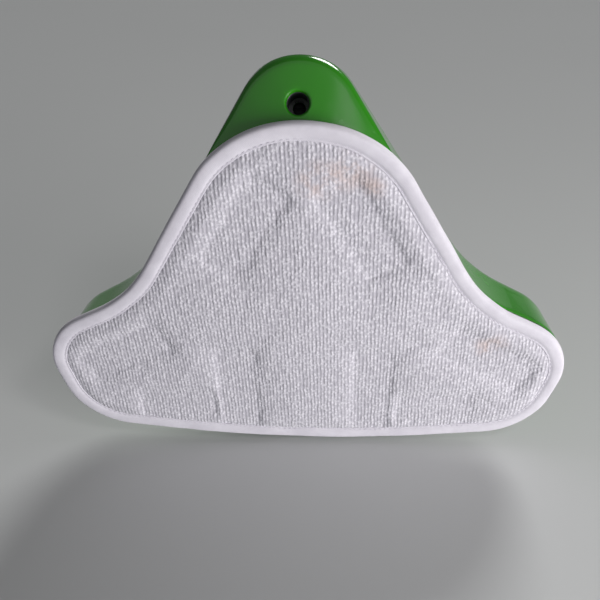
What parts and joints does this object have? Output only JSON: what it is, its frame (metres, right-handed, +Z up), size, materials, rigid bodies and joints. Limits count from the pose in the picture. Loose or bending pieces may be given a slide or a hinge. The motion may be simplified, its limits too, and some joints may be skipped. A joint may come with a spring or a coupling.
{
  "type": "steam mop floor head",
  "caption": "Delta-shaped steam mop floor head with a hook-and-loop terry pad, an overhanging nose with a screw well, and a neck socket on a universal joint.",
  "frame": {"origin": "on the floor, under the middle of the head's overall length and width", "axes": "+Z up from the floor, -Y towards the nose, +Y towards the long rear edge"},
  "size_m": [0.3208, 0.253, 0.1158],
  "materials": {
    "green_gloss": "glossy moulded green",
    "dark_plastic": "fine satin charcoal",
    "grey_plastic": "fine satin grey",
    "steel": "bright zinc plated",
    "brass": "turned",
    "silicone": "soft red-brown silicone",
    "hook_tape": "white hook tape",
    "terry": "looped terry microfibre",
    "loop_cloth": "brushed loop cloth",
    "binding_tape": "smooth woven edge tape"
  },
  "bodies": {
    "head": {"top_cover": "green_gloss", "base_plate": "dark_plastic", "cover_screw_wing_left": "steel", "cover_screw_wing_right": "steel", "cover_screw_shoulder_left": "steel", "cover_screw_shoulder_right": "steel", "cover_screw_rear": "steel", "nose_screw": "steel", "hook_strip_nose_left": "hook_tape", "hook_strip_nose_right": "hook_tape", "hook_strip_wing_left": "hook_tape", "hook_strip_wing_right": "hook_tape", "hook_strip_centre_left": "hook_tape", "hook_strip_centre_right": "hook_tape", "hook_strip_rear_left": "hook_tape", "hook_strip_rear_right": "hook_tape", "manifold_gasket": "silicone", "manifold_cover": "grey_plastic", "manifold_screw_left": "steel", "manifold_screw_right": "steel", "hose_clip": "steel", "neck_bezel": "dark_plastic", "hinge_cradle": "dark_plastic", "cradle_screw_front_left": "steel", "cradle_screw_front_right": "steel", "cradle_screw_rear_left": "steel", "cradle_screw_rear_right": "steel", "tilt_bush_left": "brass", "tilt_bush_right": "brass", "tilt_pin_left": "steel", "tilt_pin_right": "steel"},
    "knuckle": {"knuckle": "dark_plastic", "side_pin_front": "steel", "side_pin_rear": "steel", "steam_hose": "silicone"},
    "neck": {"neck_socket": "grey_plastic", "socket_collar": "dark_plastic", "steam_nipple": "brass", "nipple_o_ring": "silicone", "latch_pin": "steel", "latch_spring": "steel"},
    "latch": {"release_latch": "green_gloss"},
    "pad": {"pad_body": "terry", "pad_backing": "loop_cloth", "pad_binding": "binding_tape"}
  },
  "joints": [
    {"name": "neck_tilt", "type": "hinge", "parent": "head", "child": "knuckle", "pos_m": [0, 0.02852, 0.035], "axis": [1, 0, 0], "range_deg": [0, 67], "deforming": ["steam_hose"]},
    {"name": "neck_swing", "type": "hinge", "parent": "knuckle", "child": "neck", "pos_m": [0, 0.06162, 0.06086], "axis": [0, 0.6157, -0.788], "range_deg": [-45, 45]},
    {"name": "latch_rock", "type": "hinge", "parent": "neck", "child": "latch", "pos_m": [0, 0.07569, 0.10294], "axis": [1, 0, 0], "range_deg": [0, 14], "stiffness_Nm_per_rad": 0.15, "springref_deg": -11.46, "deforming": ["latch_spring"]},
    {"name": "pad_peel", "type": "slide", "parent": "head", "child": "pad", "axis": [0, 0, -1], "range_m": [0, 0.04]}
  ]
}
